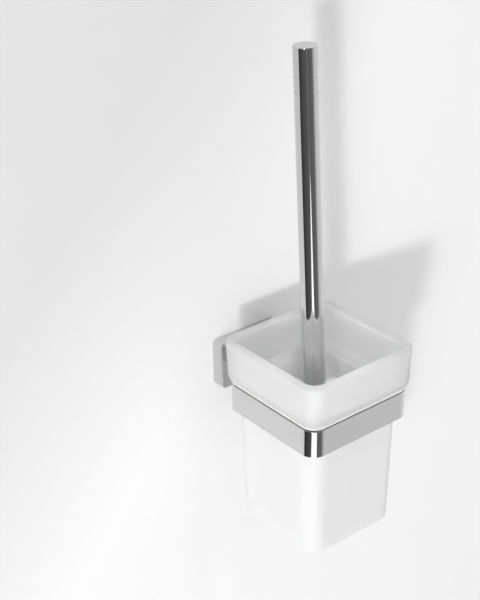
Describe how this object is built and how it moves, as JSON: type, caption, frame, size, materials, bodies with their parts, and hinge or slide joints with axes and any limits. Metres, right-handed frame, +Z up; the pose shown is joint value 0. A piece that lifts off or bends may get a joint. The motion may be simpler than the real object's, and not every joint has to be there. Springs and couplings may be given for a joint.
{
  "type": "toilet brush holder",
  "caption": "Wall-mounted toilet brush holder: chromed cover plate and square ring, frosted square glass cup, and a brush with a slim chromed handle.",
  "frame": {"origin": "centre of the wall bracket's back face, on the wall plane", "axes": "+Z up; +Y into the wall, so the object stands out towards -Y; +X along the wall"},
  "size_m": [0.106, 0.1426, 0.3839],
  "materials": {
    "fitting_chrome": "polished",
    "handle_chrome": "polished",
    "bracket_steel": "zinc plated, satin",
    "screw_steel": "bright zinc",
    "liner_plastic": "natural translucent",
    "frosted_glass": "satin etched",
    "core_plastic": "moulded",
    "bristle_nylon": "loose filaments",
    "washer_rubber": "matt",
    "bush_brass": "turned"
  },
  "bodies": {
    "holder": {"wall_bracket": "bracket_steel", "wall_plate": "fitting_chrome", "grub_screw": "screw_steel", "support_arm": "fitting_chrome", "arm_screws": "screw_steel", "ring_screws": "screw_steel", "ring_band": "fitting_chrome", "ring_liner": "liner_plastic"},
    "cup": {"glass_cup": "frosted_glass"},
    "head": {"brush_core": "core_plastic", "side_bristles": "bristle_nylon", "end_bristles": "bristle_nylon", "head_stud": "screw_steel"},
    "washer": {"seal_washer": "washer_rubber"},
    "handle": {"handle_tube": "handle_chrome", "handle_cap": "handle_chrome", "handle_bush": "bush_brass"}
  },
  "joints": [
    {"name": "cup_lift", "type": "slide", "parent": "holder", "child": "cup", "axis": [0, 0, 1], "range_m": [0, 0.13]},
    {"name": "brush_lift", "type": "slide", "parent": "cup", "child": "head", "axis": [-0.0234, 0.0281, 0.9993], "range_m": [0, 0.165]},
    {"name": "handle_advance", "type": "slide", "parent": "head", "child": "washer", "axis": [-0.0234, 0.0281, 0.9993], "range_m": [0, 0.0076]},
    {"name": "handle_turn", "type": "hinge", "parent": "washer", "child": "handle", "pos_m": [0.001, -0.0905, -0.1007], "axis": [-0.0234, 0.0281, 0.9993], "range_deg": [0, 2160]}
  ],
  "couplings": [
    {"joint": "handle_advance", "follows": "handle_turn", "m_per_rad": 0.00019894}
  ]
}
